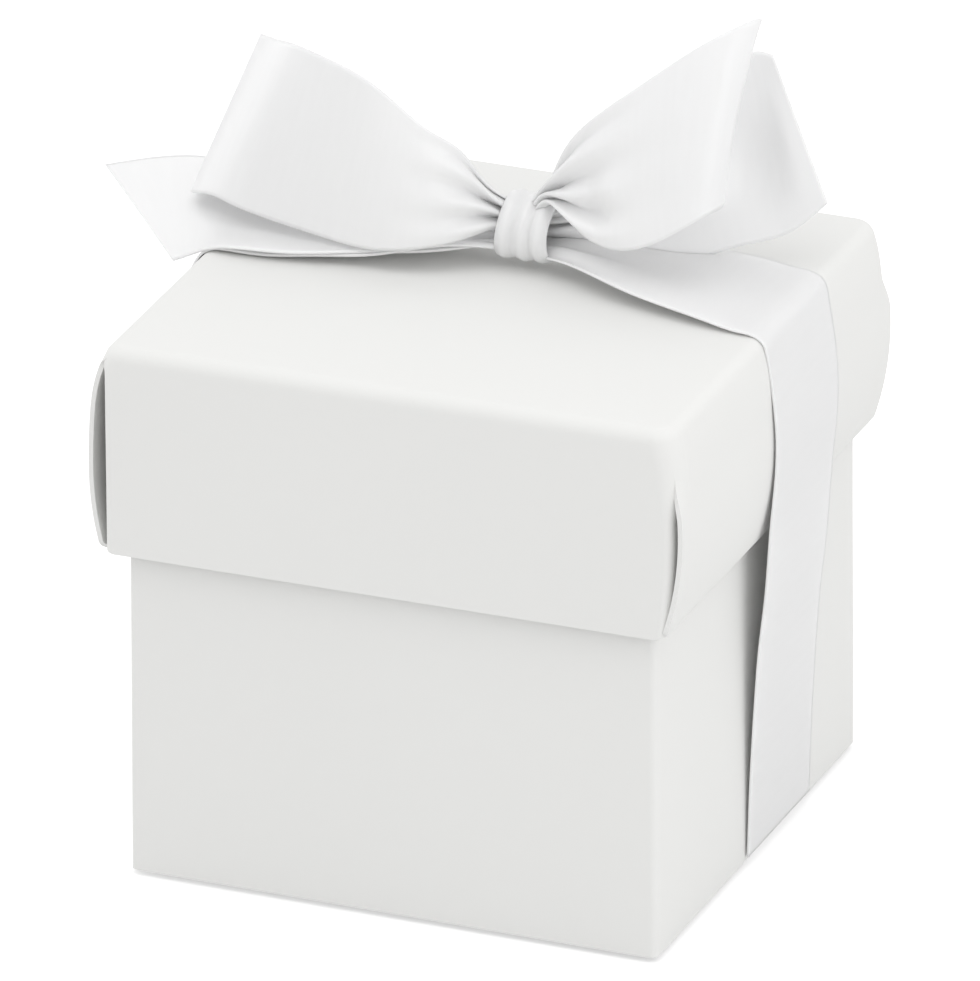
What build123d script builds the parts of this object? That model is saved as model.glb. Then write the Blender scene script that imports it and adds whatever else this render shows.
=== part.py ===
from build123d import *
import math
import os

# Card
CARD = 0.45            # thickness of the card
CREASE = 0.9           # outside radius of a crease in the base
PLAY = 0.1             # room between two layers of card that lie on each other

# Base: a square tube with a glued seam and a tucked bottom
SIDE = 52.0            # outside of the square base
BASE_HEIGHT = 52.4     # from the base's underside to its rim
GLUE_FLAP = 11.0       # width of the flap in the glued seam
GLUE_TAPER = 4.0       # how far the glue flap's ends slope in
TUCK = 12.0            # height of the tongue behind the rear wall
TUCK_CORNER = 6.0      # corner radius of the tongue
TUCK_SIDE = 0.7        # room between tongue and side walls
DUST_FLAP = 21.0       # reach of the two dust flaps
DUST_TAPER = 5.0       # how far a dust flap narrows towards its free end
DUST_SIDE = 1.6        # room between dust flap and front or rear wall

# Lid: front and rear flaps, with rolled double walls at the left and right
LID_DEPTH = 20.7       # height of the lid's flaps
LID_CREASE = 1.4       # outside radius of the creases round the lid's top
LID_GAP = 0.5          # room between base and rolled wall
FLAP_GAP = 0.85        # room between base and front or rear flap
SEAT_GAP = 0.05        # room between the base's rim and the lid's top
WALL_LEAN = 18.0       # degrees the rolled wall leaves the top's edge outwards
TAB_REACH = 15.0       # length of the corner tabs inside the rolled walls
TAB_TAPER = 4.0        # how far a tab narrows towards its end
RETURN_SHORT = 4.0     # how far the inner layer of the rolled wall stays below the top

# Ribbon
RIBBON_W = 16.0        # width of the ribbon
RIBBON_T = 0.3         # thickness of the ribbon
RIBBON_Y = 5.0         # centre line of the ribbon behind the middle of the box
RIBBON_GAP = 0.15      # room between ribbon and card
UNDER_GAP = 0.05       # room between the band below and the base's bottom
FOLD_R = 1.0           # inside radius of the ribbon round the base's bottom edge
STUB = 0.6             # straight end of the band below, above its turn

# Bow
KNOT_X = 1.8           # knot to the right of the middle
KNOT_RISE = 3.9        # centre of the knot above the lid
KNOT_W = 5.6           # length of the knot along the ribbon
KNOT_D = 6.6           # diameter of the knot at its middle
KNOT_END = 5.8         # diameter of the knot at its ends
LEFT_REACH = 33.3      # knot's centre to the left loop's outermost point
RIGHT_REACH = 21.0     # knot's centre to the right loop's outermost point
RIGHT_TAIL = 25.0      # knot's centre to the right tail's outermost point
LEFT_TAIL = 17.3       # how far the left tail stands out past the lid
TAIL_CUT = 12.8        # slant of the left tail's cut end
TAIL_DROOP = 1.9       # how far the left tail's front corner hangs below the lid's top

half = SIDE / 2
base_z = RIBBON_T + UNDER_GAP
rim_z = base_z + BASE_HEIGHT
top_z = rim_z + SEAT_GAP + CARD
hem_z = top_z - LID_DEPTH
lean = math.radians(WALL_LEAN)
band_lo = RIBBON_Y - RIBBON_W / 2
band_hi = RIBBON_Y + RIBBON_W / 2
parts = {}


def strip(edges, thickness, side, plane):
    """Face of a sheet seen on edge: a path of lines and arcs, thickened to one side."""
    return plane * make_face(Wire(edges).offset_2d(thickness, side=side))


def along_y(face, low, high):
    """Sheet whose edge-on face lies in XZ, running from one Y to another."""
    return Pos(0, (low + high) / 2, 0) * extrude(face, (high - low) / 2, both=True)


def along_x(face, reach):
    """Sheet whose edge-on face lies in YZ, running the same way to both sides."""
    return extrude(face, reach, both=True)


def upright(face, low, high):
    """Sheet whose edge-on face lies in XY, standing from one height to another."""
    return Pos(0, 0, low) * extrude(face, high - low)


def tapered(reach, wide, narrow):
    """Outline of a flap that narrows towards its free end, from x = 0 to its reach."""
    ends = [(0, -wide), (reach, -narrow), (reach, narrow), (0, wide)]
    return make_face(Polyline(*ends, close=True))


# Base walls: each straight panel carries the crease to the next one round
inner = half - CREASE
seam = -half + CARD + PLAY
wall_z = base_z + CREASE
dust_z = base_z + CARD + PLAY
side_z = dust_z + CREASE


def wall_path(start):
    """Plan of the front wall with its crease to the right."""
    return [
        Line((start, -half), (inner, -half)),
        RadiusArc((inner, -half), (half, -inner), -CREASE),
    ]


front_plan = strip(wall_path(-inner), CARD, Side.LEFT, Plane.XY)
left_plan = strip(wall_path(-half), CARD, Side.LEFT, Plane.XY)
rear_path = [
    Line((inner, half), (seam + CREASE, half)),
    RadiusArc((seam + CREASE, half), (seam, inner), -CREASE),
]
parts["base_front_wall"] = upright(front_plan, wall_z, rim_z)
parts["base_right_wall"] = upright(Rot(0, 0, 90) * front_plan, side_z, rim_z)
parts["base_rear_wall"] = upright(strip(rear_path, CARD, Side.LEFT, Plane.XY), base_z, rim_z)
parts["base_left_wall"] = upright(Rot(0, 0, 270) * left_plan, side_z, rim_z)

# Glue flap inside the left wall, at the rear
glue_height = rim_z - side_z
glue = extrude(tapered(GLUE_FLAP, glue_height / 2, glue_height / 2 - GLUE_TAPER), CARD)
glue_root = (seam, inner, (rim_z + side_z) / 2)
parts["base_glue_flap"] = Plane(glue_root, x_dir=(0, -1, 0), z_dir=(1, 0, 0)) * glue

# Bottom: panel from the front wall, its tongue behind the rear wall, dust flaps above
tongue_y = half - CARD - PLAY
bottom_path = [
    RadiusArc((-half, wall_z), (-inner, base_z), -CREASE),
    Line((-inner, base_z), (tongue_y - CREASE, base_z)),
]
parts["bottom_panel"] = along_x(strip(bottom_path, CARD, Side.LEFT, Plane.YZ), inner)
tongue_path = [
    RadiusArc((tongue_y - CREASE, base_z), (tongue_y, wall_z), -CREASE),
    Line((tongue_y, wall_z), (tongue_y, base_z + TUCK)),
]
tongue_half = half - CARD - TUCK_SIDE
tongue = along_x(strip(tongue_path, CARD, Side.LEFT, Plane.YZ), tongue_half)
tongue_tips = tongue.edges().filter_by(Axis.Y).group_by(Axis.Z)[-1]
parts["bottom_tongue"] = fillet(tongue_tips, min(TUCK_CORNER, TUCK - CREASE - 1))

dust_path = [
    RadiusArc((inner, dust_z), (half, side_z), -CREASE),
]
dust_half = inner - DUST_SIDE
dust_crease = along_y(strip(dust_path, CARD, Side.LEFT, Plane.XZ), -dust_half, dust_half)
dust_flat = extrude(tapered(DUST_FLAP - CREASE, dust_half, dust_half - DUST_TAPER), CARD)
dust_place = Plane(origin=(inner, 0, dust_z), x_dir=(-1, 0, 0), z_dir=(0, 0, 1))
dust_flap = dust_crease + dust_place * dust_flat
parts["dust_flap_right"] = dust_flap
parts["dust_flap_left"] = mirror(dust_flap, Plane.YZ)

# Lid: three layers lie in the rolled wall's fold
return_x = half + LID_GAP
roll = (3 * CARD + 2 * PLAY) / 2
wall_x = return_x + roll * (1 + math.cos(lean))
edge_x = wall_x - LID_CREASE * math.cos(lean)
upper_z = top_z - LID_CREASE * (1 - math.sin(lean))
lower_z = hem_z + roll * (1 - math.sin(lean))
belly = (upper_z - lower_z) / (2 * math.sin(lean))
belly_x = wall_x - belly * math.cos(lean)
belly_z = (upper_z + lower_z) / 2
tab_x = return_x + 2 * CARD + PLAY
flap_y = half + FLAP_GAP + CARD
ledge_y = flap_y - LID_CREASE

lid_top = Pos(0, 0, top_z - CARD) * extrude(Rectangle(2 * edge_x, 2 * ledge_y), CARD)
parts["lid_top"] = lid_top

tab_bend = tab_x - CREASE
flap_path = [
    RadiusArc((-ledge_y, top_z), (-flap_y, top_z - LID_CREASE), -LID_CREASE),
    Line((-flap_y, top_z - LID_CREASE), (-flap_y, hem_z)),
]
front_flap = along_x(strip(flap_path, CARD, Side.LEFT, Plane.YZ), tab_bend)
parts["lid_front_flap"] = front_flap
parts["lid_rear_flap"] = mirror(front_flap, Plane.XZ)

# Corner tabs: the flaps' ends, folded back between the two layers of the rolled walls
tab_lo = hem_z + 2 * roll + PLAY
tab_hi = top_z - LID_CREASE - PLAY
corner_path = [
    RadiusArc((tab_bend, -flap_y), (tab_x, CREASE - flap_y), -CREASE),
]
corner = upright(strip(corner_path, CARD, Side.LEFT, Plane.XY), tab_lo, tab_hi)
tab_half = (tab_hi - tab_lo) / 2
tab_flat = extrude(tapered(TAB_REACH, tab_half, tab_half - TAB_TAPER), CARD)
tab_root = (tab_x, CREASE - flap_y, tab_lo + tab_half)
tab = corner + Plane(tab_root, x_dir=(0, 1, 0), z_dir=(-1, 0, 0)) * tab_flat
parts["lid_tab_front_right"] = tab
parts["lid_tab_front_left"] = mirror(tab, Plane.YZ)
parts["lid_tab_rear_right"] = mirror(tab, Plane.XZ)
parts["lid_tab_rear_left"] = mirror(mirror(tab, Plane.XZ), Plane.YZ)

# Rolled walls: a crease and a barrelled outer layer, then the hem and the layer inside
roll_path = [
    RadiusArc((edge_x, top_z), (wall_x, upper_z), LID_CREASE),
    ThreePointArc((wall_x, upper_z), (belly_x + belly, belly_z), (wall_x, lower_z)),
]
rolled = along_y(strip(roll_path, CARD, Side.RIGHT, Plane.XZ), -flap_y, flap_y)
parts["lid_right_outer_wall"] = rolled
parts["lid_left_outer_wall"] = mirror(rolled, Plane.YZ)

hem_end = lower_z + roll * math.sin(lean)
hem_path = [
    ThreePointArc((wall_x, lower_z), (return_x + roll, hem_z), (return_x, hem_end)),
    Line((return_x, hem_end), (return_x, top_z - CARD - RETURN_SHORT)),
]
return_half = flap_y - CARD - CREASE
hem = along_y(strip(hem_path, CARD, Side.RIGHT, Plane.XZ), -return_half, return_half)
parts["lid_right_inner_wall"] = hem
parts["lid_left_inner_wall"] = mirror(hem, Plane.YZ)


# Ribbon round the box: it leaves the barrelled wall where it points at the foot
foot_x = half + RIBBON_GAP
turn_z = RIBBON_T + FOLD_R
stub_z = turn_z + STUB
foot_z = stub_z + PLAY
reach_z = belly_z - foot_z
span = math.hypot(belly_x - foot_x, reach_z)
bow_r = belly + RIBBON_GAP
leave = math.asin(bow_r / span) - math.asin((foot_x - belly_x) / span)
leave_x = belly_x + bow_r * math.cos(leave)
leave_z = belly_z - bow_r * math.sin(leave)

knot_z = top_z + KNOT_RISE
root_x = KNOT_W / 2
bend_r = LID_CREASE + RIBBON_GAP
root_z = knot_z - 0.27 * KNOT_D
rise = math.atan((root_z - top_z) / (edge_x - root_x))
bend_x = edge_x + bend_r * math.sin(rise)
bend_z = top_z - LID_CREASE + bend_r * math.cos(rise)
wall_rx = edge_x + bend_r * math.cos(lean)
wall_rz = top_z - LID_CREASE + bend_r * math.sin(lean)
first = (lean - leave) / 2
bulge_rx = belly_x + bow_r * math.cos(first)
bulge_rz = belly_z + bow_r * math.sin(first)
side_path = [
    RadiusArc((bend_x, bend_z), (wall_rx, wall_rz), bend_r),
    ThreePointArc((wall_rx, wall_rz), (bulge_rx, bulge_rz), (leave_x, leave_z)),
    Line((leave_x, leave_z), (foot_x, foot_z)),
]
side_band = along_y(strip(side_path, RIBBON_T, Side.LEFT, Plane.XZ), band_lo, band_hi)
parts["ribbon_right_side"] = side_band
parts["ribbon_left_side"] = mirror(side_band, Plane.YZ)

# Band below the base, turned up at both ends
turn_x = foot_x - FOLD_R
under_path = [
    Line((-foot_x, stub_z), (-foot_x, turn_z)),
    RadiusArc((-foot_x, turn_z), (-turn_x, RIBBON_T), -FOLD_R),
    Line((-turn_x, RIBBON_T), (turn_x, RIBBON_T)),
    RadiusArc((turn_x, RIBBON_T), (foot_x, turn_z), -FOLD_R),
    Line((foot_x, turn_z), (foot_x, stub_z)),
]
under = along_y(strip(under_path, RIBBON_T, Side.RIGHT, Plane.XZ), band_lo, band_hi)
parts["ribbon_under"] = under


def section(low, high, heading):
    """Cross-section of the ribbon between its two edges, square to its run."""
    lift = (high - low).cross(heading).normalized() * RIBBON_T
    return make_face(Polyline(low, high, high + lift, low + lift, close=True))


def ribbon(stations, first, last):
    """Solid ribbon through stations of two edge points each, with its ends facing along the box."""
    centres = [(low + high) * 0.5 for low, high in stations]
    final = len(stations) - 1
    faces = []
    for i in range(first, last + 1):
        low, high = stations[i]
        heading = centres[min(i + 1, final)] - centres[max(i - 1, 0)]
        if i in (0, final):
            heading = Vector(heading.X, 0, 0)
        faces.append(section(low, high, heading))
    return loft(faces)


# Knot: a barrel lying along the ribbon
crown = 0.45 * root_x
knot_outline = [
    (-root_x, 0),
    (root_x, 0),
    (root_x, KNOT_END / 2),
    (crown, KNOT_D / 2),
    (-crown, KNOT_D / 2),
    (-root_x, KNOT_END / 2),
]
knot = revolve(make_face(Polyline(*knot_outline, close=True)), Axis.X)
parts["bow_knot"] = Pos(KNOT_X, RIBBON_Y, knot_z) * knot


def spot(side, reach, out, across, up):
    """Point of the bow: fractions of its reach and of the ribbon's width from the knot."""
    return Vector(KNOT_X + side * reach * out, RIBBON_Y + across * RIBBON_W, knot_z + up * RIBBON_W)


def pinch(side, across):
    """Edges of a loop or tail where the knot holds it."""
    low = Vector(KNOT_X + side * root_x, RIBBON_Y + across * KNOT_D, knot_z - 0.09 * KNOT_D)
    high = Vector(KNOT_X + side * root_x, RIBBON_Y + across * KNOT_D, knot_z + 0.33 * KNOT_D)
    return low, high


def loop(side, reach, rows, turn):
    """Front and back half of a loop, which meet along its turn."""
    stations = [pinch(side, -0.2)]
    for low, high in rows:
        stations.append((spot(side, reach, *low), spot(side, reach, *high)))
    stations.append(pinch(side, 0.03))
    front = ribbon(stations, 0, turn)
    back = ribbon(stations, turn, len(stations) - 1)
    return front, back


left_rows = [
    ((0.47, -0.43, -0.06), (0.39, -0.32, 0.87)),
    ((0.73, -0.35, -0.05), (0.55, -0.37, 1.03)),
    ((1.00, -0.08, -0.05), (0.80, -0.01, 0.93)),
    ((0.73, 0.21, -0.02), (0.61, 0.10, 0.69)),
    ((0.43, 0.17, -0.01), (0.37, 0.09, 0.45)),
]
right_rows = [
    ((0.51, -0.32, 0.08), (0.41, -0.09, 0.87)),
    ((0.80, -0.26, 0.24), (0.76, -0.01, 1.25)),
    ((0.90, -0.01, 0.31), (1.00, 0.24, 1.40)),
    ((0.80, 0.20, 0.28), (0.79, 0.31, 1.14)),
    ((0.54, 0.14, 0.16), (0.47, 0.18, 0.77)),
]
parts["bow_left_loop_front"], parts["bow_left_loop_back"] = loop(-1, LEFT_REACH, left_rows, 3)
parts["bow_right_loop_front"], parts["bow_right_loop_back"] = loop(1, RIGHT_REACH, right_rows, 3)

# Right tail, standing up behind its loop
right_tail = [
    pinch(1, 0.2),
    (spot(1, RIGHT_TAIL, 1.00, 0.69, 0.11), spot(1, RIGHT_TAIL, 0.84, 0.44, 1.10)),
]
parts["bow_right_tail"] = ribbon(right_tail, 0, 1)


def level(x, forward, back, z):
    """Station of a ribbon that lies flat across the box, by its reach to each side of the middle."""
    return Vector(x, RIBBON_Y - forward, z), Vector(x, RIBBON_Y + back, z)


# Left tail, lying on the band to the left and drooping past the lid's edge
tail_root_x = KNOT_X - root_x
tail_mid_x = tail_root_x - 0.4 * edge_x
tail_mid_z = 0.55 * knot_z + 0.45 * top_z
tail_root = level(tail_root_x, 0.25 * KNOT_D, 0.25 * KNOT_D, knot_z - 0.17 * KNOT_D)
tail_mid = level(tail_mid_x, 0.36 * RIBBON_W, 0.4 * RIBBON_W, tail_mid_z)
tail_edge = level(2 - edge_x, 0.42 * RIBBON_W, 0.46 * RIBBON_W, top_z + 0.3 * KNOT_RISE)
tail_end = (
    Vector(-edge_x - LEFT_TAIL + TAIL_CUT, band_lo + 1, top_z - TAIL_DROOP),
    Vector(-edge_x - LEFT_TAIL, band_hi - 1, top_z),
)
parts["bow_left_tail"] = ribbon([tail_root, tail_mid, tail_edge, tail_end], 0, 3)


def top_band(side):
    """Band from the knot to the lid's edge, gathered at the knot."""
    root = KNOT_X + side * root_x
    knee_x = side * bend_x
    middle = (root + knee_x) / 2
    rows = [
        (root, 0.27 * KNOT_D, root_z, 0),
        (middle, 0.42 * RIBBON_W, (root_z + bend_z) / 2, rise),
        (knee_x, RIBBON_W / 2, bend_z, rise),
    ]
    faces = []
    for x, reach, z, slope in rows:
        low, high = level(x, reach, reach, z)
        heading = Vector(-math.cos(slope), 0, side * math.sin(slope))
        faces.append(section(low, high, heading))
    return loft(faces, ruled=True)


parts["ribbon_right_top"] = top_band(1)
parts["ribbon_left_top"] = top_band(-1)

os.makedirs("parts", exist_ok=True)
for name, shape in parts.items():
    shape.label = name
    export_step(shape, f"parts/{name}.step")
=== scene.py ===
"""White favor box of folded card with a satin ribbon tied in a bow on top."""

import math
from typing import NamedTuple

import bmesh
import bpy
import numpy as np
from bpy.props import FloatProperty, FloatVectorProperty, IntProperty, PointerProperty
from mathutils import Matrix, Vector


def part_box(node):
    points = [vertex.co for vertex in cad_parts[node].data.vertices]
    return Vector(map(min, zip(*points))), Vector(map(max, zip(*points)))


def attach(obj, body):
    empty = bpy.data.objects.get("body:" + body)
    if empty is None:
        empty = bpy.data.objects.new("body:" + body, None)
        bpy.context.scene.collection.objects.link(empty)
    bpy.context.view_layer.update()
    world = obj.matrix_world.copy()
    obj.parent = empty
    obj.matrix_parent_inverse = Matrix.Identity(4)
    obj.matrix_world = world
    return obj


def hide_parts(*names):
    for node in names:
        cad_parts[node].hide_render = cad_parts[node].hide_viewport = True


bl_info = {
    "name": "Favor Box",
    "version": (1, 0, 0),
    "blender": (4, 5, 0),
    "location": "View3D > Sidebar > Favor Box",
    "description": "Dresses a card favor box with its paper finish and its satin ribbon and bow",
    "category": "Object",
}

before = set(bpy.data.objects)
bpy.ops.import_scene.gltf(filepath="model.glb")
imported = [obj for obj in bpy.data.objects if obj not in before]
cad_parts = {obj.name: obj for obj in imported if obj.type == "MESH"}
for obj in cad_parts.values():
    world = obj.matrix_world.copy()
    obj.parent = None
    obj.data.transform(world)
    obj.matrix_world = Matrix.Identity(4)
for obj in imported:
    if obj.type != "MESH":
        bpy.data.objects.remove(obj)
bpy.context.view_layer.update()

MM = 0.001
CARD_NODES = [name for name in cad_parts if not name.startswith(("ribbon", "bow"))]
LID_NODES = [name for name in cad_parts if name.startswith("lid_")]
WALL_NODES = [f"base_{side}_wall" for side in ("front", "right", "rear", "left")]
BAND_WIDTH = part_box("ribbon_under")[1].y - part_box("ribbon_under")[0].y

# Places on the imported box, in millimetres.
LID_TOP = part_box("lid_top")[1].z / MM
LID_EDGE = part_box("lid_top")[1].x / MM
LID_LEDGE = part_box("lid_top")[1].y / MM
FLAP_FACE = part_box("lid_rear_flap")[1].y / MM
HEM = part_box("lid_front_flap")[0].z / MM
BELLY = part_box("lid_right_outer_wall")[1].x / MM
WALL_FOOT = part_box("lid_right_outer_wall")[0].z / MM
INNER_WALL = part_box("lid_right_inner_wall")[0].x / MM
BASE_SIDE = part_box("base_right_wall")[1].x / MM
BASE_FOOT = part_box("bottom_panel")[0].z / MM
BASE_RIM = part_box("base_front_wall")[1].z / MM
BAND_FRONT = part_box("ribbon_under")[0].y / MM
BAND_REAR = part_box("ribbon_under")[1].y / MM
KNOT_X = 1.8
KNOT_Y = (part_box("bow_knot")[0].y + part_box("bow_knot")[1].y) / 2 / MM
KNOT_Z = LID_TOP + 3.85

# Folds of the lid: lean of the rolled walls, radii and lengths in millimetres.
WALL_LEAN = math.radians(18)
TOP_CORNER = 0.8
FLAP_END = 0.9
TAB_LENGTH = 14
TAB_LEAN = 0.5
INNER_DROP = 4.5

# Shares: how far a flap is parted where its tab begins, the depth where the tab ends, how much the tab
# and the inner layer narrow, and how fast a wall is pulled in below the crease.
TAB_PARTED = 0.45
TAB_FOOT = 0.93
TAB_NARROWS = 0.2
INNER_NARROWS = 0.05
INSET_RATE = 2.5
ALMOST_STRAIGHT = 1e-4

# Steps along each fold.
TAB_STEPS = 6
BEND_STEPS = 8
FALL_STEPS = 40
CURL_STEPS = 8
RISE_STEPS = 6
CORNER_ARC = np.linspace(0, 1, 9)


class Station(NamedTuple):
    """Cross-section of a run of ribbon, in millimetres."""

    low: tuple  # one edge
    high: tuple  # the other edge
    swell: float = 0.0  # height of its arch
    pleat: float = 0.0  # height of its pleats
    shift: float = 0.0  # place of its pleats, as a share of one pleat


class Dent(NamedTuple):
    """Dent in a ribbon: place and reach as shares of its length and width, depth in millimetres."""

    along: float
    across: float
    along_reach: float
    across_reach: float
    depth: float


class LidSide(NamedTuple):
    """How the lid is folded at one side, in millimetres and in shares of its depth."""

    corner: float  # share of the full corner radius
    open_at: float  # depth where flap and wall begin to part
    opens: float  # depth over which they part
    short: float  # end of the wall to the face of the flap
    lifted: float  # rise of the flap's lower corner
    waist: float  # flap cut back at its top and at its hem
    taper: float  # flap cut back towards its hem
    inset: float  # wall pulled in
    bulge: tuple  # wall pushed out, in pairs of depth and distance


RIGHT_SIDE = LidSide(
    corner=1.0, open_at=0.17, opens=0.24, short=0.1, lifted=0.6, waist=0.6, taper=0.0, inset=0.5,
    bulge=((0, 0), (1, 0)),
)
LEFT_SIDE = LidSide(
    corner=0.6, open_at=0.0, opens=0.07, short=1.0, lifted=0.2, waist=0.0, taper=0.12, inset=0.0,
    bulge=((0, 0), (0.06, 0.15), (0.18, 0.3), (0.43, 0.2), (0.64, 0.35), (0.8, 0.55), (1, 0.8)),
)


class BandSide(NamedTuple):
    """How the ribbon lies on one side of the box, in millimetres."""

    name: str
    sign: int  # 1 at the right, -1 at the left
    knot: float  # middle of the knot, measured towards this side
    forward: float  # shift towards the front, away from the knot
    lowered: float  # how much closer it lies to the lid
    outwards: float  # how much further out it hangs


BAND_SIDES = (
    BandSide("right", 1, KNOT_X, forward=0.8, lowered=0.0, outwards=0.0),
    BandSide("left", -1, -KNOT_X, forward=0.0, lowered=0.4, outwards=0.75),
)


class CardProps(bpy.types.PropertyGroup):
    """Finish of the folded card"""

    colour: FloatVectorProperty(
        name="Colour", description="Colour of the card", subtype="COLOR",
        size=3, min=0, max=1, default=(0.84, 0.84, 0.825),
    )
    roughness: FloatProperty(
        name="Roughness", description="How matt the card is", subtype="FACTOR",
        min=0, max=1, default=0.62,
    )
    thickness: FloatProperty(
        name="Thickness", description="Thickness of the card", unit="LENGTH", min=0, default=0.00045,
    )
    flap: FloatProperty(
        name="Flap reach", description="Middle of the lid to the folded end of a flap", unit="LENGTH",
        min=0, default=0.028,
    )
    crease: FloatProperty(
        name="Crease", description="Outside radius of the base's upright creases", unit="LENGTH",
        min=0, default=0.0007,
    )
    spread: FloatProperty(
        name="Spread", description="How far the base's foot is out of square", unit="LENGTH",
        min=0, default=0.001,
    )
    corner: FloatProperty(
        name="Corner", description="Radius of the lid's soft upper corners", unit="LENGTH",
        min=0, default=0.0023,
    )
    fibre: FloatProperty(
        name="Fibre size", description="Spacing of the paper fibres", subtype="DISTANCE",
        unit="LENGTH", min=0, default=0.0011,
    )


class RibbonProps(bpy.types.PropertyGroup):
    """Size and finish of the satin ribbon"""

    colour: FloatVectorProperty(
        name="Colour", description="Colour of the satin", subtype="COLOR",
        size=3, min=0, max=1, default=(0.865, 0.865, 0.867),
    )
    roughness: FloatProperty(
        name="Roughness", description="How soft the satin's gloss is", subtype="FACTOR",
        min=0, max=1, default=0.28,
    )
    through: FloatProperty(
        name="Translucency", description="How far light spreads inside the satin", unit="LENGTH",
        min=0, default=0.0003,
    )
    thickness: FloatProperty(
        name="Thickness", description="Thickness of the ribbon", unit="LENGTH",
        min=0, default=0.00022,
    )
    threads: FloatProperty(
        name="Thread spacing", description="Distance between the satin's threads", unit="LENGTH",
        min=0, default=0.00022,
    )
    rows: IntProperty(
        name="Steps along", description="Faces along each run of ribbon", min=8, default=120,
    )
    columns: IntProperty(
        name="Steps across", description="Faces across the ribbon", min=4, default=40,
    )


class StageProps(bpy.types.PropertyGroup):
    """Studio round the box"""

    azimuth: FloatProperty(
        name="Azimuth", description="Camera angle to the right of the front", subtype="ANGLE",
        unit="ROTATION", default=math.radians(21.35),
    )
    elevation: FloatProperty(
        name="Elevation", description="Camera angle above level", subtype="ANGLE",
        unit="ROTATION", default=math.radians(23.64),
    )
    distance: FloatProperty(
        name="Distance", description="Camera to box", subtype="DISTANCE", unit="LENGTH", default=2.0,
    )
    lens: FloatProperty(
        name="Lens", description="Focal length in millimetres", min=1, max=5000, default=790.5,
    )
    sky: FloatProperty(
        name="Sky", description="Strength of the light from all round", min=0, default=0.86,
    )
    lean: FloatProperty(
        name="Sky lean", description="How much brighter the sky is towards the upper left",
        min=0, default=0.08,
    )
    key: FloatProperty(
        name="Key lamp", description="Power of the large lamp above", unit="POWER", min=0, default=0.6,
    )
    side: FloatProperty(
        name="Side lamp", description="Power of the low lamp at the left", unit="POWER", min=0, default=0.3,
    )
    fill: FloatProperty(
        name="Fill lamp", description="Power of the lamp at the right", unit="POWER", min=0, default=0.75,
    )
    floor: FloatVectorProperty(
        name="Floor", description="Colour of the floor", subtype="COLOR",
        size=3, min=0, max=1, default=(0.8, 0.8, 0.8),
    )


def new_material(name):
    """New material, with its nodes, links and shader."""
    material = bpy.data.materials.new(name)
    material.use_nodes = True
    nodes = material.node_tree.nodes
    return material, nodes, material.node_tree.links, nodes["Principled BSDF"]


def card_material(props):
    """Smooth uncoated card: fine fibres, faint clouding and a soft sheen."""
    material, nodes, links, shader = new_material("white card")
    shader.inputs["Roughness"].default_value = props.roughness
    shader.inputs["Specular IOR Level"].default_value = 0.35
    place = nodes.new("ShaderNodeTexCoord")
    cloud = nodes.new("ShaderNodeTexNoise")
    cloud.inputs["Scale"].default_value = 45.0
    cloud.inputs["Detail"].default_value = 5.0
    tint = nodes.new("ShaderNodeMix")
    tint.data_type = "RGBA"
    tint.inputs["A"].default_value = (*[c * 0.985 for c in props.colour], 1)
    tint.inputs["B"].default_value = (*props.colour, 1)
    fibre = nodes.new("ShaderNodeTexNoise")
    fibre.inputs["Scale"].default_value = 1.0 / props.fibre
    fibre.inputs["Detail"].default_value = 6.0
    fibre.inputs["Roughness"].default_value = 0.65
    stretch = nodes.new("ShaderNodeMapping")
    stretch.inputs["Scale"].default_value = (1.0, 0.55, 1.0)
    bump = nodes.new("ShaderNodeBump")
    bump.inputs["Strength"].default_value = 0.12
    bump.inputs["Distance"].default_value = 0.00006
    links.new(place.outputs["Object"], cloud.inputs["Vector"])
    links.new(place.outputs["Object"], stretch.inputs["Vector"])
    links.new(stretch.outputs["Vector"], fibre.inputs["Vector"])
    links.new(cloud.outputs["Fac"], tint.inputs["Factor"])
    links.new(tint.outputs["Result"], shader.inputs["Base Color"])
    links.new(fibre.outputs["Fac"], bump.inputs["Height"])
    links.new(bump.outputs["Normal"], shader.inputs["Normal"])
    return material


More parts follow.
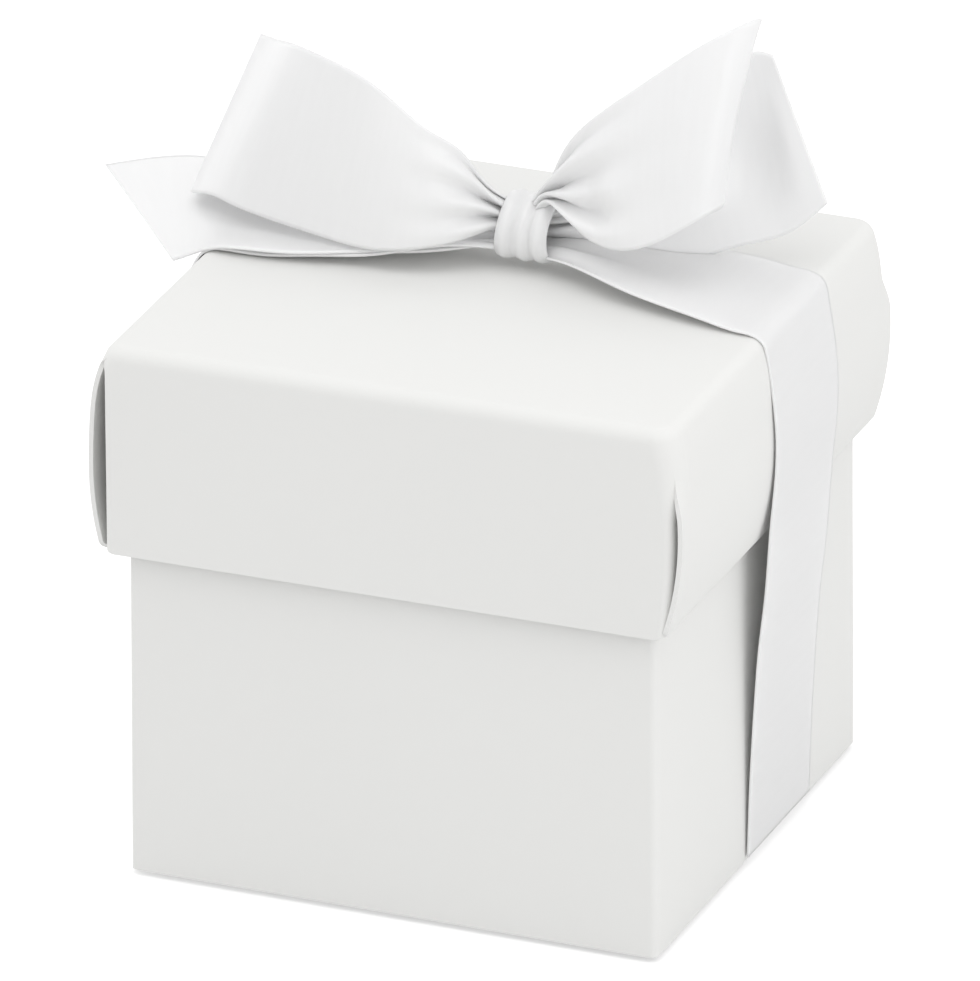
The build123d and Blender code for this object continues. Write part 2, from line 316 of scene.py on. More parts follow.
def satin_material(props):
    """Satin weave: fine threads across the ribbon, a gloss along it, and slightly uneven yarn."""
    material, nodes, links, shader = new_material("white satin")
    shader.inputs["Roughness"].default_value = props.roughness
    shader.inputs["Specular IOR Level"].default_value = 0.6
    shader.inputs["Anisotropic"].default_value = 0.55
    shader.inputs["Subsurface Weight"].default_value = 1.0
    shader.inputs["Subsurface Radius"].default_value = (1.0, 1.0, 1.0)
    shader.inputs["Subsurface Scale"].default_value = props.through
    shader.inputs["Sheen Weight"].default_value = 0.05
    shader.inputs["Sheen Roughness"].default_value = 0.4
    place = nodes.new("ShaderNodeUVMap")
    place.uv_map = "ribbon"
    tangent = nodes.new("ShaderNodeTangent")
    tangent.direction_type = "UV_MAP"
    tangent.uv_map = "ribbon"
    threads = nodes.new("ShaderNodeTexWave")
    threads.bands_direction = "Y"
    threads.inputs["Scale"].default_value = 1.0 / (props.threads * 20.0)
    threads.inputs["Distortion"].default_value = 1.2
    threads.inputs["Detail"].default_value = 2.0
    threads.inputs["Detail Scale"].default_value = 0.5
    slub = nodes.new("ShaderNodeTexNoise")
    slub.inputs["Scale"].default_value = 160.0
    slub.inputs["Detail"].default_value = 4.0
    pull = nodes.new("ShaderNodeMapping")
    pull.inputs["Scale"].default_value = (1.0, 9.0, 1.0)
    tint = nodes.new("ShaderNodeMix")
    tint.data_type = "RGBA"
    tint.inputs["A"].default_value = (*[c * 0.97 for c in props.colour], 1)
    tint.inputs["B"].default_value = (*props.colour, 1)
    weave = nodes.new("ShaderNodeBump")
    weave.inputs["Strength"].default_value = 0.10
    weave.inputs["Distance"].default_value = 0.00003
    links.new(place.outputs["UV"], threads.inputs["Vector"])
    links.new(place.outputs["UV"], pull.inputs["Vector"])
    links.new(pull.outputs["Vector"], slub.inputs["Vector"])
    links.new(slub.outputs["Fac"], tint.inputs["Factor"])
    links.new(tint.outputs["Result"], shader.inputs["Base Color"])
    links.new(threads.outputs["Fac"], weave.inputs["Height"])
    links.new(weave.outputs["Normal"], shader.inputs["Normal"])
    links.new(tangent.outputs["Tangent"], shader.inputs["Tangent"])
    return material


def shared_material(name, make, props):
    """The finish of that name, made once."""
    return bpy.data.materials.get(name) or make(props)


def ease(value):
    """Soft step from 0 to 1."""
    value = np.clip(value, 0, 1)
    return value * value * (3 - 2 * value)


def smooth_curve(points, along, samples):
    """Natural cubic spline through points at the given stations."""
    points = np.asarray(points, float)
    along = np.asarray(along, float)
    count = len(points)
    gap = np.diff(along)
    matrix = np.eye(count)
    right = np.zeros_like(points)
    for i in range(1, count - 1):
        matrix[i, i - 1:i + 2] = gap[i - 1], 2 * (gap[i - 1] + gap[i]), gap[i]
        right[i] = 6 * ((points[i + 1] - points[i]) / gap[i] - (points[i] - points[i - 1]) / gap[i - 1])
    second = np.linalg.solve(matrix, right)
    cell = np.clip(np.searchsorted(along, samples, side="right") - 1, 0, count - 2)
    h = gap[cell][:, None]
    a = (along[cell + 1] - samples)[:, None] / h
    b = 1 - a
    curve = a * points[cell] + b * points[cell + 1]
    return curve + ((a**3 - a) * second[cell] + (b**3 - b) * second[cell + 1]) * h**2 / 6


def grid_faces(rows, columns, first=0):
    """Faces of a grid of points numbered row by row."""
    wide = columns + 1
    corners = [first + i * wide + j for i in range(rows) for j in range(columns)]
    return [(a, a + wide, a + wide + 1, a + 1) for a in corners]


def add_patch(points, faces, patch):
    """Add a grid of points with its faces, and return the number of its first point."""
    first = len(points)
    points.extend(patch.reshape(-1, 3).tolist())
    faces.extend(grid_faces(patch.shape[0] - 1, patch.shape[1] - 1, first))
    return first


def ribbon_grid(stations, folds, rows, columns, dents=()):
    """Points of a run of ribbon with so many pleats across, in metres."""
    low = np.array([station.low for station in stations], float)
    high = np.array([station.high for station in stations], float)
    extras = np.array([(station.swell, station.pleat, station.shift) for station in stations], float)
    middle = (low + high) / 2
    along = np.concatenate([[0], np.cumsum(np.linalg.norm(np.diff(middle, axis=0), axis=1))])
    samples = np.linspace(0, along[-1], rows + 1)
    low, high = smooth_curve(low, along, samples), smooth_curve(high, along, samples)
    swell, pleat, shift = (np.interp(samples, along, extra)[:, None] for extra in extras.T)
    heading = np.gradient((low + high) / 2, axis=0)
    normal = np.cross(high - low, heading)
    normal /= np.linalg.norm(normal, axis=1)[:, None]
    share = np.linspace(0, 1, columns + 1)
    arch = swell * 4 * share * (1 - share)
    calm = np.minimum(1, 6 * np.minimum(share, 1 - share) + 0.25)
    lift = arch + pleat * np.sin(2 * np.pi * (folds * share + shift)) * calm
    run = np.linspace(0, 1, rows + 1)[:, None]
    for dent in dents:
        away = ((run - dent.along) / dent.along_reach) ** 2 + ((share - dent.across) / dent.across_reach) ** 2
        lift += dent.depth * np.exp(-away)
    grid = low[:, None] + (high - low)[:, None] * share[None, :, None] + normal[:, None] * lift[..., None]
    return grid * MM


def ribbon_piece(name, grid, props, replaced, body="ribbon"):
    """Run of satin ribbon as a thin closed sheet."""
    rows, columns = grid.shape[0] - 1, grid.shape[1] - 1
    steps = np.linalg.norm(np.diff(grid.mean(axis=1), axis=0), axis=1)
    along = np.concatenate([[0], np.cumsum(steps)])
    mesh = bpy.data.meshes.new(name)
    mesh.from_pydata(grid.reshape(-1, 3).tolist(), [], grid_faces(rows, columns))
    layer = mesh.uv_layers.new(name="ribbon")
    for loop in mesh.loops:
        i, j = divmod(loop.vertex_index, columns + 1)
        layer.data[loop.index].uv = (BAND_WIDTH * j / columns, along[i])
    mesh.polygons.foreach_set("use_smooth", [True] * len(mesh.polygons))
    piece = bpy.data.objects.new(name, mesh)
    bpy.context.scene.collection.objects.link(piece)
    solid = piece.modifiers.new("thickness", "SOLIDIFY")
    solid.thickness = props.thickness
    solid.offset = 0
    mesh.materials.append(shared_material("white satin", satin_material, props))
    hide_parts(*replaced)
    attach(piece, body)
    return piece


def card_sheet(name, points, faces, props, body, replaced):
    """Folded sheet of card from its outer side, with crisp cut edges."""
    mesh = bpy.data.meshes.new(name)
    mesh.from_pydata([[c * MM for c in point] for point in points], [], faces)
    shape = bmesh.new()
    shape.from_mesh(mesh)
    bmesh.ops.remove_doubles(shape, verts=shape.verts, dist=1e-6)
    bmesh.ops.recalc_face_normals(shape, faces=shape.faces)
    for edge in shape.edges:
        edge.smooth = not edge.is_boundary
    for face in shape.faces:
        face.smooth = True
    shape.to_mesh(mesh)
    shape.free()
    piece = bpy.data.objects.new(name, mesh)
    bpy.context.scene.collection.objects.link(piece)
    solid = piece.modifiers.new("thickness", "SOLIDIFY")
    solid.thickness = props.thickness
    solid.offset = -1
    mesh.materials.append(shared_material("white card", card_material, props))
    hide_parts(*replaced)
    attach(piece, body)
    return piece


class FAVOR_OT_card(bpy.types.Operator):
    """Give the base's and the lid's panels their card finish"""

    bl_idname = "favor.card"
    bl_label = "Card panels"

    def execute(self, context):
        card = shared_material("white card", card_material, context.scene.favor_card)
        for name in CARD_NODES:
            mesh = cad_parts[name].data
            mesh.materials.clear()
            mesh.materials.append(card)
        return {"FINISHED"}


class FAVOR_OT_base(bpy.types.Operator):
    """Fold the four walls of the base, slightly out of square at the foot"""

    bl_idname = "favor.base"
    bl_label = "Base walls"

    # Corners in order, with the share of the spread that each takes along x and y.
    corners = (
        ((-1, -1), (0.0, -0.05)), ((1, -1), (0.5, -0.9)), ((1, 1), (0.4, -0.4)), ((-1, 1), (-0.2, 0.0)),
    )
    square_above = 36
    level_step = 6
    crease_steps = 8

    def execute(self, context):
        props = context.scene.favor_card
        radius = props.crease / MM
        levels = np.arange(0, self.square_above + 1, self.level_step)
        points = []
        for z in [*(BASE_FOOT + levels), BASE_RIM]:
            spread = float(ease((BASE_FOOT + self.square_above - z) / self.square_above)) * props.spread / MM
            for k, (sign, moved) in enumerate(self.corners):
                x, y = (s * (BASE_SIDE - radius) + m * spread for s, m in zip(sign, moved))
                for step in range(self.crease_steps + 1):
                    turn = math.radians(180 + 90 * k + 90 * step / self.crease_steps)
                    points.append((x + radius * math.cos(turn), y + radius * math.sin(turn), z))
        wide = len(self.corners) * (self.crease_steps + 1)
        faces = []
        for i in range(len(levels)):
            for j in range(wide):
                k = (j + 1) % wide
                faces.append((i * wide + j, i * wide + k, (i + 1) * wide + k, (i + 1) * wide + j))
        card_sheet("base_sheet", points, faces, props, "base", WALL_NODES)
        return {"FINISHED"}


class LidProfile(NamedTuple):
    """Flap and rolled wall of the lid from the top crease down, in millimetres."""

    turn: np.ndarray  # angle round the top crease
    drop: np.ndarray  # share of the depth below the crease
    flap_y: np.ndarray
    flap_z: np.ndarray
    wall_x: np.ndarray
    wall_z: np.ndarray


def lid_profile():
    """Upright flap and barrelled wall, both tangent to the top crease."""
    crease = FLAP_FACE - LID_LEDGE
    turn = np.linspace(0, math.pi / 2, BEND_STEPS + 1)
    fall = np.linspace(0, 1, FALL_STEPS + 1)[1:]
    flap_top = LID_TOP - crease
    wall_turn = turn * (1 - WALL_LEAN / (math.pi / 2))
    wall_edge = LID_EDGE + crease * math.cos(WALL_LEAN)
    wall_top = LID_TOP - crease * (1 - math.sin(WALL_LEAN))
    barrel = (wall_top - WALL_FOOT) / (2 * math.sin(WALL_LEAN))
    angle = WALL_LEAN * (1 - 2 * fall)
    return LidProfile(
        turn,
        np.concatenate([np.zeros(BEND_STEPS + 1), fall]),
        np.concatenate([LID_LEDGE + crease * np.sin(turn), np.full(FALL_STEPS, FLAP_FACE)]),
        np.concatenate([LID_TOP - crease * (1 - np.cos(turn)), flap_top - (flap_top - HEM) * fall]),
        np.concatenate([
            LID_EDGE + crease * np.sin(wall_turn),
            wall_edge + barrel * (np.cos(angle) - math.cos(WALL_LEAN)),
        ]),
        np.concatenate([
            LID_TOP - crease * (1 - np.cos(wall_turn)),
            (wall_top + WALL_FOOT) / 2 + barrel * np.sin(angle),
        ]),
    )


def lid_corner(profile, side, props):
    """Corner radius, parting of flap and wall, and wall line at one side of the lid."""
    soft = side.corner * props.corner / MM
    corner = TOP_CORNER + (soft - TOP_CORNER) * np.sin(profile.turn)
    corner = np.concatenate([corner, np.full(FALL_STEPS, soft)])
    apart = ease((profile.drop - side.open_at) / side.opens)
    depths, outs = np.transpose(side.bulge)
    bulge = smooth_curve(outs[:, None], depths, profile.drop)[:, 0]
    wall_x = profile.wall_x + bulge - side.inset * ease(INSET_RATE * profile.drop)
    return corner, apart, wall_x


def flap_end(profile, side, props):
    """Rounded end of a flap, joined to the wall above and folded in below, and its tab."""
    drop = profile.drop
    corner, apart, wall_x = lid_corner(profile, side, props)
    reach = props.flap / MM - side.waist * (2 * drop - 1) ** 2 - side.taper * drop
    start = (1 - apart) * (wall_x - corner) + apart * (reach - FLAP_END)
    radius = ((1 - apart) * corner + apart * FLAP_END)[:, None]
    sweep = (0.25 + 0.25 * apart)[:, None] * math.pi * CORNER_ARC
    x = start[:, None] + radius * np.sin(sweep)
    y = profile.flap_y[:, None] - radius * (1 - np.cos(sweep))
    meet = (1 - apart)[:, None] * CORNER_ARC * (profile.wall_z - profile.flap_z)[:, None] / 2
    z = profile.flap_z[:, None] + meet + side.lifted * (drop**12)[:, None] * CORNER_ARC
    rows = np.flatnonzero((apart > TAB_PARTED) & (drop < TAB_FOOT))
    back = np.linspace(0, 1, TAB_STEPS + 1)
    middle = z[rows, -1].mean()
    tab_x = x[rows, -1:] - TAB_LEAN * back
    tab_y = y[rows, -1:] - TAB_LENGTH * back
    tab_z = middle + (z[rows, -1:] - middle) * (1 - TAB_NARROWS * back**2)
    return np.stack((x, y, z), 2), np.stack((tab_x, tab_y, tab_z), 2)


def wall_end(profile, side, props):
    """End of a rolled wall, joined to the flap above and free below, with its hem and inner layer."""
    corner, apart, wall_x = lid_corner(profile, side, props)
    bent = np.maximum(0.25 * math.pi * (1 - apart), ALMOST_STRAIGHT)
    length = (1 - apart) * corner * math.pi / 4 + apart * (corner - side.short)
    curve = (bent / length)[:, None]
    step = length[:, None] * CORNER_ARC
    x = wall_x[:, None] - (1 - np.cos(curve * step)) / curve
    y = (profile.flap_y - corner)[:, None] + np.sin(curve * step) / curve
    meet = (1 - apart)[:, None] * CORNER_ARC * (profile.flap_z - profile.wall_z)[:, None] / 2
    z = profile.wall_z[:, None] + meet
    curl = np.linspace(-WALL_LEAN, -math.pi, CURL_STEPS + 1)[1:]
    size = (wall_x[-1] - INNER_WALL) / (1 + math.cos(WALL_LEAN))
    hem_x = INNER_WALL + size * (1 + np.cos(curl))
    hem_z = WALL_FOOT + size * (np.sin(curl) + math.sin(WALL_LEAN))
    inner_z = np.linspace(hem_z[-1], LID_TOP - INNER_DROP, RISE_STEPS + 1)[1:]
    rolled_x = np.concatenate([hem_x, np.full(RISE_STEPS, INNER_WALL)])
    rolled_z = np.concatenate([hem_z, inner_z])
    # The rolled part has its narrower width from a third of the way on.
    shrink = 1 - INNER_NARROWS * ease(np.linspace(0, 3, CURL_STEPS + RISE_STEPS + 1)[1:])
    x = np.concatenate([x, np.repeat(rolled_x[:, None], len(CORNER_ARC), 1)])
    y = np.concatenate([y, y[-1:] * shrink[:, None]])
    z = np.concatenate([z, np.repeat(rolled_z[:, None], len(CORNER_ARC), 1)])
    return np.stack((x, y, z), 2)


class FAVOR_OT_lid(bpy.types.Operator):
    """Fold the lid from one sheet: top, flaps with their tabs, and rolled walls, with soft corners"""

    bl_idname = "favor.lid"
    bl_label = "Folded lid"

    columns = 25

    def execute(self, context):
        props = context.scene.favor_card
        profile = lid_profile()
        points, faces, ring = [], [], []
        for is_flap, sign in ((True, 1), (False, 1), (True, -1), (False, -1)):
            ends = []
            for end in (-1, 1):
                if is_flap:
                    side = RIGHT_SIDE if end * sign > 0 else LEFT_SIDE
                    place = (end * sign, -sign, 1)
                    corner, tab = flap_end(profile, side, props)
                    add_patch(points, faces, tab * place)
                else:
                    side = RIGHT_SIDE if sign > 0 else LEFT_SIDE
                    place = (sign, end * sign, 1)
                    corner = wall_end(profile, side, props)
                ends.append(corner * place)
            first, last = ends
            share = np.linspace(0, 1, self.columns + 1)[None, 1:-1, None]
            middle = first[:, :1] * (1 - share) + last[:, :1] * share
            patch = np.concatenate([first[:, ::-1], middle, last], axis=1)
            start = add_patch(points, faces, patch)
            ring += range(start, start + patch.shape[1])
        faces.append(tuple(ring))
        card_sheet("lid_sheet", points, faces, props, "lid", LID_NODES)
        return {"FINISHED"}


class FAVOR_OT_bands(bpy.types.Operator):
    """Wrap the ribbon over the lid, down both sides and under the base"""

    bl_idname = "favor.bands"
    bl_label = "Ribbon round the box"

    folds = 2.5
    shift = 0.1

    # Where each side's own shifts act: x from the middle for the first three, heights for the last.
    knot_reach = 20
    forward_start, forward_run = 16, 10
    lowered_from, lowered_to = 10, 24
    hang_foot, hang_rise, hang_fade = 2.6, 20, 3

    # From the knot to below the lid's edge: x, front, rear, z, swell and pleat.
    over = (
        (KNOT_X, 3.2, 6.8, 55.0, 0.0, 0.3), (KNOT_X + 3.0, 2.2, 7.6, 55.4, 0.1, 0.45),
        (KNOT_X + 6.5, 0.6, 9.0, 55.5, 0.2, 0.3), (KNOT_X + 11.0, -1.2, 10.8, 55.0, 0.35, 0.1),
        (17.5, -2.3, 12.0, 54.5, 0.35, 0.0), (22.5, -2.9, 12.8, 54.0, 0.2, 0.0),
        (LID_EDGE - 1.4, BAND_FRONT, BAND_REAR, LID_TOP + 0.4, 0.1, 0.0),
        (LID_EDGE + 0.25, BAND_FRONT, BAND_REAR, LID_TOP + 0.22, 0.0, 0.0),
        (LID_EDGE + 1.25, BAND_FRONT, BAND_REAR, LID_TOP - 0.4, 0.0, 0.0),
        (BELLY - 1.2, BAND_FRONT, BAND_REAR, LID_TOP - 1.6, 0.0, 0.0),
    )
    # Down the side to the foot of the base: x and z.
    down = (
        (BELLY - 0.6, 48.0), (BELLY - 0.15, 43.0), (BELLY - 0.3, 38.8), (BELLY - 0.65, 35.0),
        (28.6, 31.0), (28.3, 27.0), (27.8, 22.5), (27.4, 17.0), (27.1, 11.5), (26.9, 6.5),
        (BASE_SIDE + 0.8, 2.6), (BASE_SIDE + 0.75, 0.9),
    )
    # Round the base's bottom edge, x from the edge and z, and across the bottom.
    bend = ((0.3, 1.9), (0.3, 1.2), (0.05, 0.5), (-0.75, 0.15), (-1.5, 0.15), (-3.0, 0.15), (-7.0, 0.15))
    flat = ((12.0, 0.15), (4.0, 0.15), (-4.0, 0.15), (-12.0, 0.15))

    def execute(self, context):
        props = context.scene.favor_ribbon
        path = [*self.over, *[(x, BAND_FRONT, BAND_REAR, z, 0.0, 0.0) for x, z in self.down]]
        for side in BAND_SIDES:
            run = [self.station(side, *place) for place in path]
            ribbon_piece(
                f"ribbon_{side.name}_run", ribbon_grid(run, self.folds, 2 * props.rows, props.columns), props,
                [f"ribbon_{side.name}_top", f"ribbon_{side.name}_side"],
            )
        right = [(BASE_SIDE + x, z) for x, z in self.bend]
        left = [(-x, z) for x, z in reversed(right)]
        under = [Station((x, BAND_FRONT, z), (x, BAND_REAR, z)) for x, z in [*right, *self.flat, *left]]
        ribbon_piece(
            "ribbon_under_run", ribbon_grid(under, self.folds, props.rows, props.columns), props,
            ["ribbon_under"], body="ribbon_under",
        )
        return {"FINISHED"}

    def station(self, side, x, front, rear, z, swell, pleat):
        """Cross-section of the band on its side of the box."""
        near = max(0, 1 - (x - KNOT_X) / (self.knot_reach - KNOT_X))
        x += (side.knot - KNOT_X) * near
        forward = side.forward * max(0, min(1, (x - self.forward_start) / self.forward_run))
        if self.lowered_from < x < self.lowered_to:
            z -= side.lowered
        if x > LID_EDGE:
            hang = ease((z - self.hang_foot) / self.hang_rise) * ease((LID_TOP - z) / self.hang_fade)
            x += side.outwards * float(hang)
        low = (side.sign * x, front - forward, z)
        high = (side.sign * x, rear - forward, z)
        return Station(low, high, -side.sign * swell, pleat, self.shift)


class FAVOR_OT_loops(bpy.types.Operator):
    """Shape the two loops of the bow"""

    bl_idname = "favor.loops"
    bl_label = "Bow loops"

    folds = 3.0

    # Each loop from the knot out along its front, round its turn and back.
    left = (
        Station((0.8, 4.3, 56.5), (0.8, 4.5, 59.3), 0.0, 0.8),
        Station((-1.1, 3.2, 57.1), (-2.1, 3.8, 61.1), 0.0, 0.8),
        Station((-3.6, 1.0, 56.5), (-4.0, 2.6, 64.4), 0.2, 0.45),
        Station((-6.9, -1.2, 56.0), (-6.6, 1.0, 66.8), 0.4, 0.12),
        Station((-11.2, -1.8, 55.4), (-9.4, -0.6, 69.8), 0.1),
        Station((-17.0, -1.0, 55.6), (-12.5, -2.2, 72.8), -0.4),
        Station((-22.6, -0.4, 56.3), (-16.5, -1.8, 74.0), -0.3),
        Station((-26.0, 0.2, 56.8), (-19.5, -0.4, 74.1)),
        Station((-29.4, 2.2, 56.6), (-22.9, 2.4, 73.2)),
        Station((-32.2, 5.6, 55.4), (-25.4, 6.0, 71.6)),
        Station((-28.6, 9.8, 56.7), (-23.9, 9.0, 68.3)),
        Station((-21.5, 10.4, 56.8), (-18.7, 8.6, 66.7), 0.2),
        Station((-14.0, 9.2, 57.0), (-12.4, 7.6, 64.3), 0.2, 0.3),
        Station((-6.5, 6.6, 56.8), (-6.2, 6.0, 61.7), 0.0, 0.6, 0.2),
        Station((-1.3, 5.8, 56.4), (-2.7, 5.6, 59.4), 0.0, 0.8, 0.3),
        Station((0.8, 5.6, 56.4), (0.8, 5.6, 59.2), 0.0, 0.8, 0.3),
    )
    right = (
        Station((2.6, 4.1, 57.6), (2.6, 4.6, 60.0), 0.0, -0.8),
        Station((4.7, 2.8, 60.6), (3.8, 4.2, 62.1), 0.0, -0.8),
        Station((7.4, 1.4, 59.3), (5.4, 3.7, 65.7), 0.0, -0.8),
        Station((10.5, 0.2, 58.3), (8.2, 3.4, 69.3), -0.3, -0.5),
        Station((14.0, -0.2, 58.7), (12.3, 3.6, 72.8), -0.6, -0.1),
        Station((17.8, 0.4, 60.7), (16.9, 4.6, 76.5), -0.6),
        Station((20.4, 2.0, 62.3), (20.8, 6.4, 79.0), -0.2),
        Station((20.7, 4.8, 62.1), (22.8, 8.8, 79.5), 0.5),
        Station((18.0, 8.2, 61.6), (18.7, 10.2, 75.7)),
        Station((13.0, 8.4, 59.8), (13.8, 9.6, 71.7), 0.0, 0.2),
        Station((8.0, 7.2, 58.4), (8.5, 7.8, 66.9), 0.0, 0.5, 0.1),
        Station((4.4, 5.8, 57.6), (4.1, 5.8, 61.3), 0.0, 0.8, 0.2),
        Station((2.6, 5.4, 57.4), (2.6, 5.4, 60.0), 0.0, 0.8, 0.2),
    )
    right_dents = (Dent(0.17, 0.28, 0.04, 0.2, 0.9), Dent(0.22, 0.45, 0.03, 0.25, -0.35))

    def execute(self, context):
        props = context.scene.favor_ribbon
        for name, stations, dents in (("left", self.left, ()), ("right", self.right, self.right_dents)):
            grid = ribbon_grid(stations, self.folds, props.rows, props.columns, dents)
            ribbon_piece(
                f"bow_{name}_loop", grid, props, [f"bow_{name}_loop_front", f"bow_{name}_loop_back"],
            )
        return {"FINISHED"}


class FAVOR_OT_tails(bpy.types.Operator):
    """Shape the two cut ends of the bow"""

    bl_idname = "favor.tails"
    bl_label = "Bow tails"

    folds = 2.5

    # Each tail from the knot to its cut end.
    left = (
        Station((1.0, 3.4, 55.6), (1.0, 6.6, 55.6), 0.0, 0.3),
        Station((-1.6, 2.6, 55.5), (-1.6, 7.4, 55.6), 0.0, 0.4),
        Station((-6.5, 0.6, 55.0), (-6.5, 9.6, 55.4), 0.1, 0.25),
        Station((-12.0, -1.2, 54.8), (-12.5, 11.4, 55.2), 0.2, 0.05),
        Station((-20.0, -3.2, 54.3), (-21.0, 12.8, 55.3), 0.2),
        Station((-26.2, -3.4, 53.9), (-29.0, 12.9, 55.5), 0.15),
        Station((-29.0, -2.8, 52.6), (-35.8, 12.6, 55.4), 0.1),
        Station((-31.2, -2.0, 51.3), (-43.7, 12.0, 53.5)),
    )
    right = (
        Station((2.6, 5.6, 55.6), (2.6, 6.4, 58.4), 0.0, 0.6),
        Station((5.2, 5.4, 55.5), (5.0, 7.2, 60.0), 0.0, 0.7),
        Station((11.9, 6.8, 54.5), (8.0, 10.6, 66.4), 0.0, 0.3),
        Station((16.0, 9.0, 54.2), (13.4, 12.0, 69.8)),
        Station((20.1, 11.4, 55.4), (17.0, 14.3, 71.5)),
        Station((24.4, 13.2, 56.8), (19.8, 15.2, 73.3)),
        Station((27.6, 14.0, 59.8), (21.7, 15.0, 73.3)),
    )
    right_dents = (Dent(0.8, 0.4, 0.11, 0.22, 1.2), Dent(0.94, 0.42, 0.05, 0.3, -0.4))

    def execute(self, context):
        props = context.scene.favor_ribbon
        ribbon_piece(
            "bow_left_end", ribbon_grid(self.left, self.folds, props.rows, props.columns), props,
            ["bow_left_tail"],
        )
        ribbon_piece(
            "bow_right_end", ribbon_grid(self.right, self.folds, props.rows, props.columns, self.right_dents),
            props, ["bow_right_tail"],
        )
        return {"FINISHED"}


class FAVOR_OT_knot(bpy.types.Operator):
    """Wrap the knot in the middle of the bow"""

    bl_idname = "favor.knot"
    bl_label = "Bow knot"

    flat_width = 0.0102

    # Section of the wrap from one tucked edge over its pleats to the other: shares of width and height.
    section = (
        (-0.55, -1.0), (-0.86, -0.9), (-1.0, -0.45), (-0.88, 0.0), (-0.62, 0.22), (-0.3, -0.18),
        (0.05, 0.3), (0.35, -0.15), (0.62, 0.2), (0.88, 0.0), (1.0, -0.45), (0.86, -0.9), (0.55, -1.0),
    )

    def execute(self, context):
        props = context.scene.favor_ribbon
        share = np.linspace(0, 1, len(self.section))
        across, height = smooth_curve(self.section, share, np.linspace(0, 1, props.columns + 1)).T
        turn = (np.linspace(-0.5, 1.5, props.rows + 1) * math.pi)[:, None]
        # Half width, pleat height and radius in millimetres, each changing a little round the wrap.
        half = 2.65 + 0.25 * np.cos(turn + 0.6)
        pleat = 0.7 + 0.2 * np.cos(2 * turn + 0.5)
        radius = 3.15 + 0.15 * np.cos(2 * turn) + height * pleat
        grid = np.stack([
            KNOT_X + half * across + 0.25 * np.sin(turn),
            KNOT_Y + radius * np.cos(turn),
            KNOT_Z + radius * np.sin(turn),
        ], 2) * MM
        ribbon_piece("bow_knot_wrap", grid, props, ["bow_knot"])
        return {"FINISHED"}


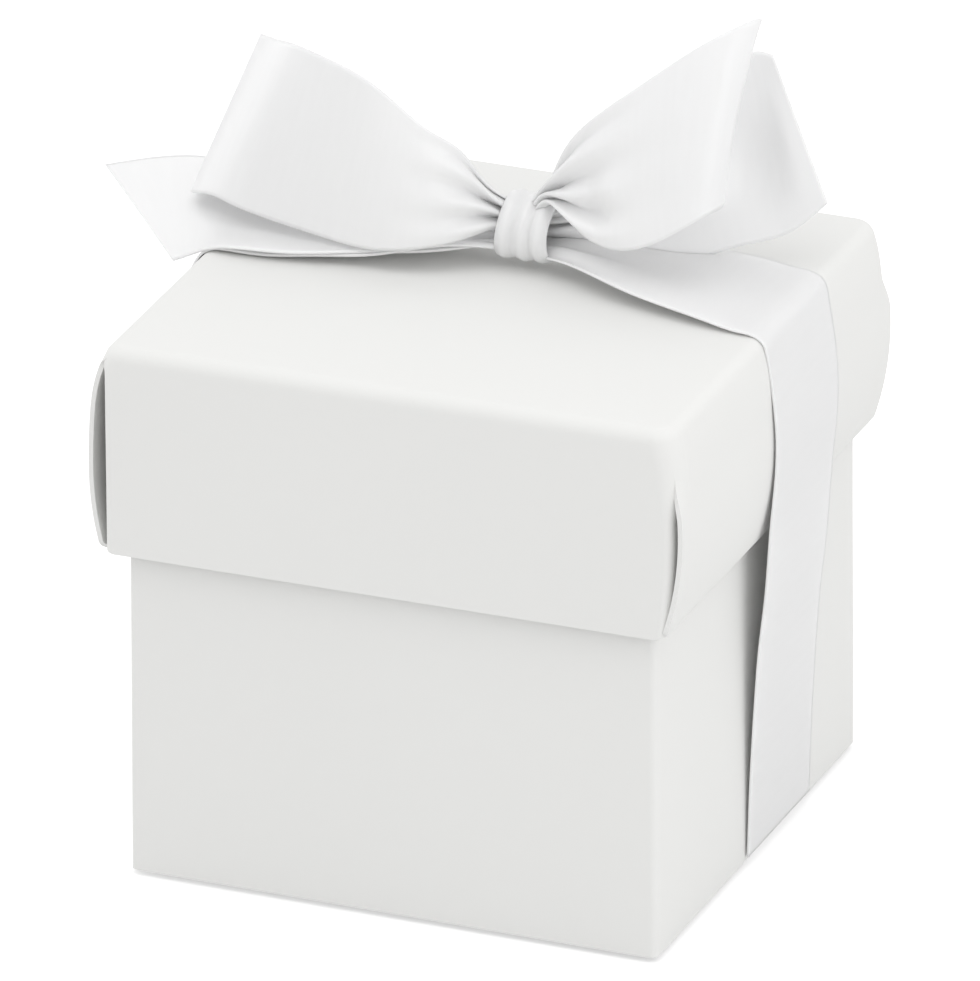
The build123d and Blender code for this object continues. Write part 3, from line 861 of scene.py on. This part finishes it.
class FAVOR_OT_stage(bpy.types.Operator):
    """Set the pale floor, the studio light and the camera"""

    bl_idname = "favor.stage"
    bl_label = "Studio"

    def execute(self, context):
        scene = context.scene
        props = scene.favor_stage
        scene.view_settings.view_transform = "Standard"
        self.floor(scene, props)
        self.sky(scene, props)
        self.lamp(scene, "key lamp", (-0.05, -0.16, 0.6), (0, 0, 0.04), 0.5, props.key)
        self.lamp(scene, "side lamp", (-0.57, 0.05, 0.04), (0, 0, 0.065), 0.25, props.side)
        self.lamp(scene, "fill lamp", (0.58, -0.12, 0.2), (0, 0, 0.05), 0.5, props.fill)
        self.camera(scene, props)
        return {"FINISHED"}

    def floor(self, scene, props):
        """Pale floor that lights the box from below, and looks white but for the box's shadow."""
        mesh = bpy.data.meshes.new("floor")
        reach, gap = 3.0, 0.0002
        corners = [(-reach, -reach, 0), (reach, -reach, 0), (reach, reach, 0), (-reach, reach, 0)]
        mesh.from_pydata(corners, [], [(0, 1, 2, 3)])
        floor = bpy.data.objects.new("floor", mesh)
        floor.location.z = -gap
        scene.collection.objects.link(floor)
        material, nodes, links, shader = new_material("pale floor")
        nodes.remove(shader)
        pale = nodes.new("ShaderNodeBsdfDiffuse")
        pale.inputs["Color"].default_value = (*props.floor, 1)
        shade = nodes.new("ShaderNodeBsdfDiffuse")
        shade.inputs["Color"].default_value = (0.7, 0.7, 0.7, 1)
        glow = nodes.new("ShaderNodeEmission")
        glow.inputs["Strength"].default_value = 0.5
        seen = nodes.new("ShaderNodeAddShader")
        path = nodes.new("ShaderNodeLightPath")
        either = nodes.new("ShaderNodeMath")
        either.operation = "MAXIMUM"
        mix = nodes.new("ShaderNodeMixShader")
        links.new(shade.outputs["BSDF"], seen.inputs[0])
        links.new(glow.outputs["Emission"], seen.inputs[1])
        links.new(path.outputs["Is Camera Ray"], either.inputs[0])
        links.new(path.outputs["Is Transmission Ray"], either.inputs[1])
        links.new(either.outputs["Value"], mix.inputs["Fac"])
        links.new(pale.outputs["BSDF"], mix.inputs[1])
        links.new(seen.outputs["Shader"], mix.inputs[2])
        links.new(mix.outputs["Shader"], nodes["Material Output"].inputs["Surface"])
        mesh.materials.append(material)

    def sky(self, scene, props):
        """Soft light from all round, a little brighter from the upper left; the camera sees plain white."""
        world = bpy.data.worlds.new("studio")
        world.use_nodes = True
        scene.world = world
        nodes, links = world.node_tree.nodes, world.node_tree.links
        light = nodes["Background"]
        light.inputs["Color"].default_value = (1, 1, 1, 1)
        place = nodes.new("ShaderNodeTexCoord")
        towards = nodes.new("ShaderNodeVectorMath")
        towards.operation = "DOT_PRODUCT"
        towards.inputs[1].default_value = (-0.8, 0.2, 0.55)
        level = nodes.new("ShaderNodeMath")
        level.operation = "MULTIPLY_ADD"
        level.inputs[1].default_value = props.lean
        level.inputs[2].default_value = props.sky
        white = nodes.new("ShaderNodeBackground")
        white.inputs["Color"].default_value = (1, 1, 1, 1)
        path = nodes.new("ShaderNodeLightPath")
        mix = nodes.new("ShaderNodeMixShader")
        links.new(place.outputs["Generated"], towards.inputs[0])
        links.new(towards.outputs["Value"], level.inputs[0])
        links.new(level.outputs["Value"], light.inputs["Strength"])
        links.new(path.outputs["Is Camera Ray"], mix.inputs["Fac"])
        links.new(light.outputs["Background"], mix.inputs[1])
        links.new(white.outputs["Background"], mix.inputs[2])
        links.new(mix.outputs["Shader"], nodes["World Output"].inputs["Surface"])

    def lamp(self, scene, name, place, aim, size, power):
        """Square soft box turned towards its aim."""
        data = bpy.data.lights.new(name, "AREA")
        data.shape = "SQUARE"
        data.size = size
        data.energy = power
        lamp = bpy.data.objects.new(name, data)
        lamp.location = place
        lamp.rotation_euler = (Vector(place) - Vector(aim)).to_track_quat("Z", "Y").to_euler()
        scene.collection.objects.link(lamp)

    def camera(self, scene, props):
        """Camera with a long lens, aimed a little above and left of the box's middle."""
        data = bpy.data.cameras.new("camera")
        data.sensor_width = 36.0
        data.lens = props.lens
        data.clip_start = 0.01
        data.clip_end = 50.0
        camera = bpy.data.objects.new("camera", data)
        az, el = props.azimuth, props.elevation
        right = Vector((math.cos(az), math.sin(az), 0))
        up = Vector((-math.sin(az) * math.sin(el), math.cos(az) * math.sin(el), math.cos(el)))
        back = Vector((math.sin(az) * math.cos(el), -math.cos(az) * math.cos(el), math.sin(el)))
        middle, raised, moved_left = Vector((0, 0, 0.026)), 0.00564, 0.00038
        aim = middle + up * raised - right * moved_left
        turn = Matrix((right, up, back)).transposed().to_4x4()
        camera.matrix_world = Matrix.Translation(aim + back * props.distance) @ turn
        scene.collection.objects.link(camera)
        scene.camera = camera


class FAVOR_PT_panel(bpy.types.Panel):
    """Sizes, colours and pieces of the favor box"""

    bl_idname = "FAVOR_PT_panel"
    bl_label = "Favor Box"
    bl_space_type = "VIEW_3D"
    bl_region_type = "UI"
    bl_category = "Favor Box"

    def draw(self, context):
        for group in (context.scene.favor_card, context.scene.favor_ribbon, context.scene.favor_stage):
            column = self.layout.column(align=True)
            for key in group.bl_rna.properties.keys():
                if key not in ("rna_type", "name"):
                    column.prop(group, key)
        for operator in OPERATORS:
            self.layout.operator(operator.bl_idname)


GROUPS = (CardProps, RibbonProps, StageProps)
OPERATORS = (
    FAVOR_OT_card, FAVOR_OT_base, FAVOR_OT_lid, FAVOR_OT_bands,
    FAVOR_OT_loops, FAVOR_OT_tails, FAVOR_OT_knot, FAVOR_OT_stage,
)


def register():
    for kind in (*GROUPS, *OPERATORS, FAVOR_PT_panel):
        bpy.utils.register_class(kind)
    bpy.types.Scene.favor_card = PointerProperty(type=CardProps)
    bpy.types.Scene.favor_ribbon = PointerProperty(type=RibbonProps)
    bpy.types.Scene.favor_stage = PointerProperty(type=StageProps)


def unregister():
    del bpy.types.Scene.favor_stage
    del bpy.types.Scene.favor_ribbon
    del bpy.types.Scene.favor_card
    for kind in reversed((*GROUPS, *OPERATORS, FAVOR_PT_panel)):
        bpy.utils.unregister_class(kind)


def main():
    register()
    bpy.ops.favor.card()
    bpy.ops.favor.base()
    bpy.ops.favor.lid()
    bpy.ops.favor.bands()
    bpy.ops.favor.loops()
    bpy.ops.favor.tails()
    bpy.ops.favor.knot()
    bpy.ops.favor.stage()


if __name__ == "__main__":
    main()
